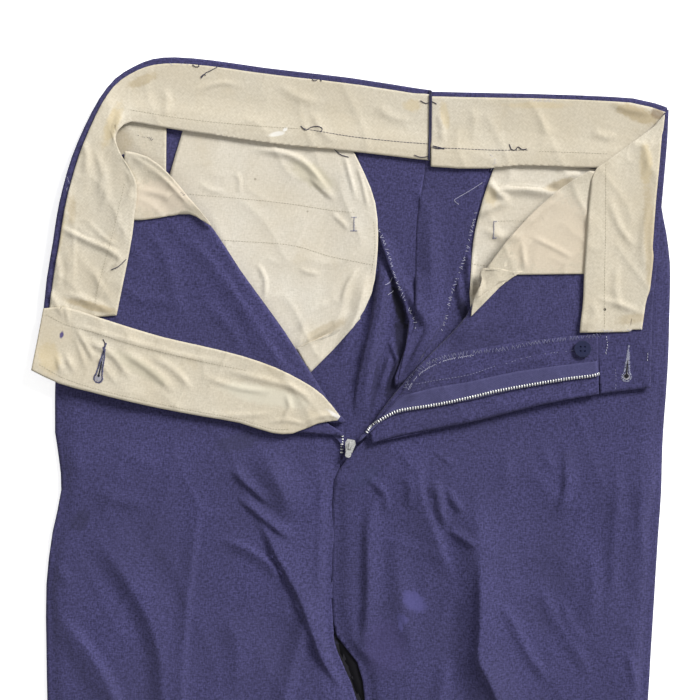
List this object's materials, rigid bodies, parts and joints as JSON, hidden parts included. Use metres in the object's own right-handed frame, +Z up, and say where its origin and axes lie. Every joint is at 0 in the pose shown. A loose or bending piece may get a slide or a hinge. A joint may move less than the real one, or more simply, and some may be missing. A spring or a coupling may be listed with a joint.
{
  "type": "laid-out uniform trousers with open fly",
  "caption": "Straight-leg trousers lying flat on their back, fly open and both fronts turned outwards to show pocket bags, waistband curtain and fly shield.",
  "frame": {"origin": "middle of the outline on the surface that the trousers lie on", "axes": "+Z up from the surface, +Y from the hems towards the waist, +X towards the wearer's left"},
  "size_m": [0.5104, 1.0386, 0.0132],
  "materials": {
    "navy_cloth": "matt navy tropical weave, slightly worn",
    "cream_cotton": "matt unbleached lining cotton, a little stained",
    "zip_tape": "matt woven zip tape",
    "zip_metal": "dull silver",
    "button": "dark four-hole button, soft shine"
  },
  "bodies": {
    "trousers": {"back_right": "navy_cloth", "back_left": "navy_cloth", "seat_outlet_right": "navy_cloth", "seat_outlet_left": "navy_cloth", "front_right": "navy_cloth", "front_left": "navy_cloth", "waistband_right": "navy_cloth", "waistband_back_left": "navy_cloth", "waistband_front_left": "navy_cloth", "fly_shield": "navy_cloth", "fly_facing": "navy_cloth", "curtain_right": "cream_cotton", "curtain_back_left": "cream_cotton", "curtain_front_left": "cream_cotton", "hip_pocket_bag_right": "cream_cotton", "hip_pocket_bag_left": "cream_cotton", "side_pocket_bag_right": "cream_cotton", "side_pocket_bag_left": "cream_cotton", "fly_shield_lining": "cream_cotton", "zip_tape_left": "zip_tape", "zip_tape_right": "zip_tape", "zip_slider": "zip_metal", "inner_button": "button", "waistband_button": "button"},
    "pull_tab": {"zip_pull_tab": "zip_metal"}
  },
  "joints": [
    {"name": "pull_tab_hinge", "type": "hinge", "parent": "trousers", "child": "pull_tab", "pos_m": [-0.00115, 0.20825, 0.0098], "axis": [-0.9801, 0.1987, 0], "range_deg": [0, 150]}
  ]
}
